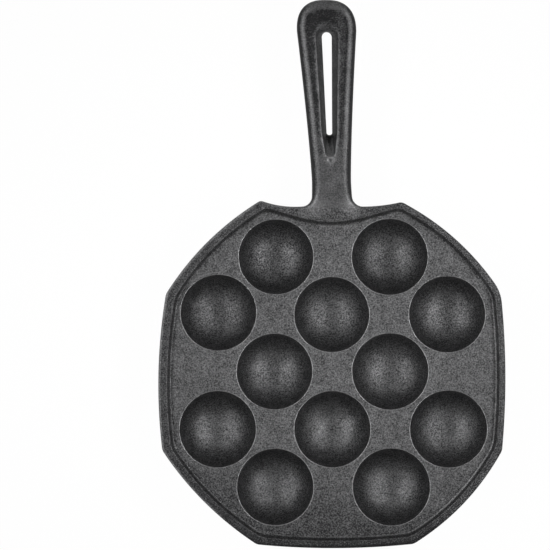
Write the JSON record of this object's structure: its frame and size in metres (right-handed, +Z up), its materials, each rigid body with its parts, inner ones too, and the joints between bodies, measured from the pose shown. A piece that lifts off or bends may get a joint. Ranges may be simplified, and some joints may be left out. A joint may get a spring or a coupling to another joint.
{
  "type": "takoyaki pan",
  "caption": "Cast-iron stove-top pan for ball-shaped snacks: an octagonal plate with round cups, a raised rim and a flat handle with a long tapering slot.",
  "frame": {"origin": "in the plane of the cups' feet, below the middle of the whole length and width", "axes": "+Y points along the handle, away from the cups; +X to the right, seen from above; +Z up out of the cups"},
  "size_m": [0.1908, 0.3, 0.031],
  "materials": {
    "plate": "seasoned, fine sand-cast grain",
    "cups": "seasoned, smoother and with more sheen",
    "rim": "seasoned, coarser cast grain",
    "handle": "seasoned, fine sand-cast grain"
  },
  "bodies": {
    "root": {"griddle_plate": "plate", "cup_01": "cups", "cup_02": "cups", "cup_03": "cups", "cup_04": "cups", "cup_05": "cups", "cup_06": "cups", "cup_07": "cups", "cup_08": "cups", "cup_09": "cups", "cup_10": "cups", "cup_11": "cups", "cup_12": "cups", "rim": "rim", "handle": "handle"}
  },
  "joints": []
}
